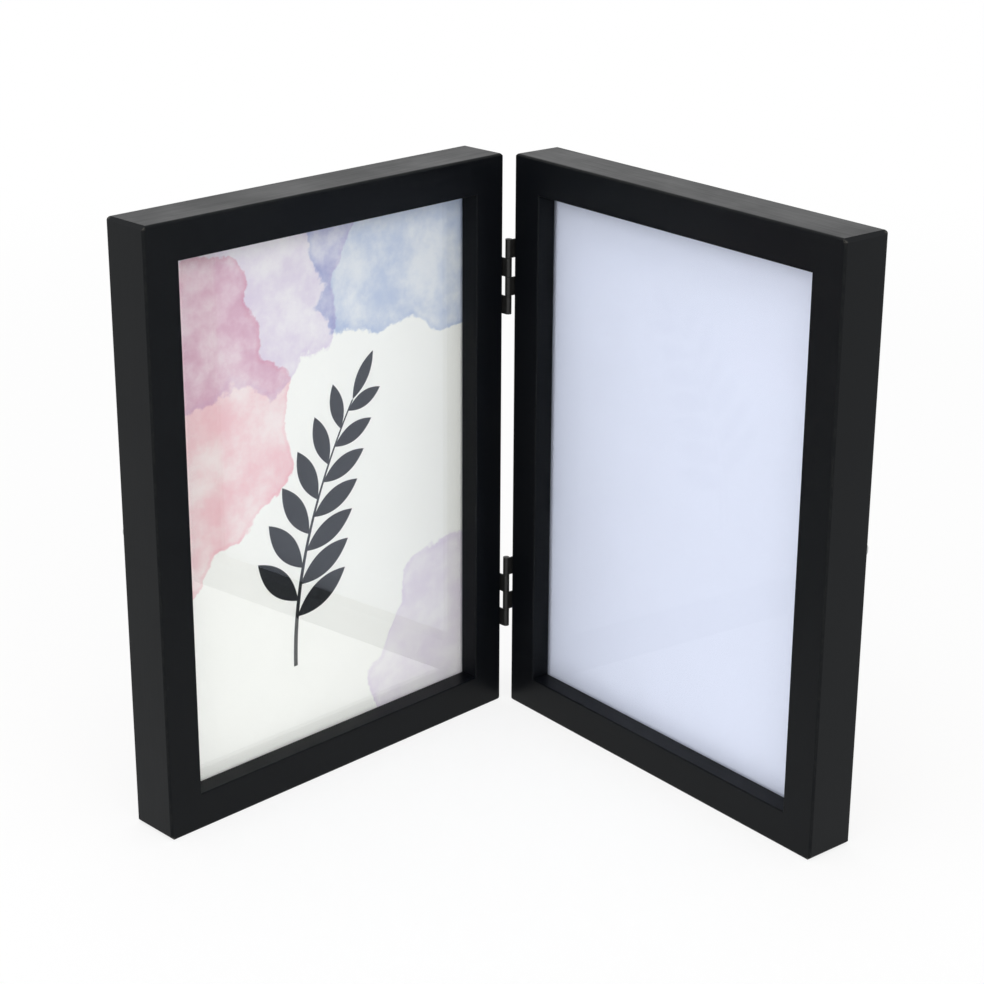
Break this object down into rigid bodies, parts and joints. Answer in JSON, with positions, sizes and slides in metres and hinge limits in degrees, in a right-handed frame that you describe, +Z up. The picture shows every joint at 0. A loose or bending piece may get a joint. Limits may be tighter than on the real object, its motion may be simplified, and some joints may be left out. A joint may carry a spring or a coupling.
{
  "type": "hinged double photo frame",
  "caption": "Two square-edged black wooden photo frames joined by small butt hinges, standing open like a book; glazed, with backing boards held by turn buttons.",
  "frame": {"origin": "bottom centre of the box around the whole object, on the surface it stands on", "axes": "+Z up, +X to the right as seen from the front, +Y to the back, where the two frames meet at the hinges; the frames open towards -Y"},
  "size_m": [0.221, 0.1174, 0.1934],
  "materials": {
    "painted_wood": "solid softwood moulding, satin black paint",
    "glass": "clear float glass",
    "left_print": "matt print, watercolour washes with a dark motif",
    "right_print": "plain pale lavender paper",
    "corrugated_card": "corrugated card",
    "fibreboard": "bare medium density fibreboard",
    "button_steel": "zinc plated sheet steel",
    "screw_steel": "zinc plated steel",
    "nail_steel": "bare spring steel",
    "blackened_steel": "black plated steel"
  },
  "bodies": {
    "left_frame": {"left_top_rail": "painted_wood", "left_bottom_rail": "painted_wood", "left_outer_stile": "painted_wood", "left_hinge_stile": "painted_wood", "left_corner_nails": "nail_steel", "left_glass": "glass", "left_print": "left_print", "left_filler_pad": "corrugated_card", "left_backing_board": "fibreboard", "left_button_screws": "screw_steel", "left_leaf_screws": "blackened_steel", "left_upper_hinge_leaf": "blackened_steel", "left_lower_hinge_leaf": "blackened_steel", "upper_hinge_pin": "blackened_steel", "lower_hinge_pin": "blackened_steel"},
    "right_frame": {"right_top_rail": "painted_wood", "right_bottom_rail": "painted_wood", "right_outer_stile": "painted_wood", "right_hinge_stile": "painted_wood", "right_corner_nails": "nail_steel", "right_glass": "glass", "right_print": "right_print", "right_filler_pad": "corrugated_card", "right_backing_board": "fibreboard", "right_button_screws": "screw_steel", "right_leaf_screws": "blackened_steel", "right_upper_hinge_leaf": "blackened_steel", "right_lower_hinge_leaf": "blackened_steel"},
    "left_inner_turn_button": {"left_inner_turn_button": "button_steel"},
    "left_outer_turn_button": {"left_outer_turn_button": "button_steel"},
    "right_inner_turn_button": {"right_inner_turn_button": "button_steel"},
    "right_outer_turn_button": {"right_outer_turn_button": "button_steel"}
  },
  "joints": [
    {"name": "fold", "type": "hinge", "parent": "left_frame", "child": "right_frame", "pos_m": [0, 0.04681, 0], "axis": [0, 0, 1], "range_deg": [-85, 100]},
    {"name": "left_inner_button_turn", "type": "hinge", "parent": "left_frame", "child": "left_inner_turn_button", "pos_m": [-0.0172, 0.0561, 0.0967], "axis": [-0.7431, 0.6691, 0], "range_deg": [-90, 90]},
    {"name": "left_outer_button_turn", "type": "hinge", "parent": "left_frame", "child": "left_outer_turn_button", "pos_m": [-0.10793, -0.04467, 0.0967], "axis": [-0.7431, 0.6691, 0], "range_deg": [-90, 90]},
    {"name": "right_inner_button_turn", "type": "hinge", "parent": "right_frame", "child": "right_inner_turn_button", "pos_m": [0.0172, 0.0561, 0.0967], "axis": [0.7431, 0.6691, 0], "range_deg": [-90, 90]},
    {"name": "right_outer_button_turn", "type": "hinge", "parent": "right_frame", "child": "right_outer_turn_button", "pos_m": [0.10793, -0.04467, 0.0967], "axis": [0.7431, 0.6691, 0], "range_deg": [-90, 90]}
  ]
}
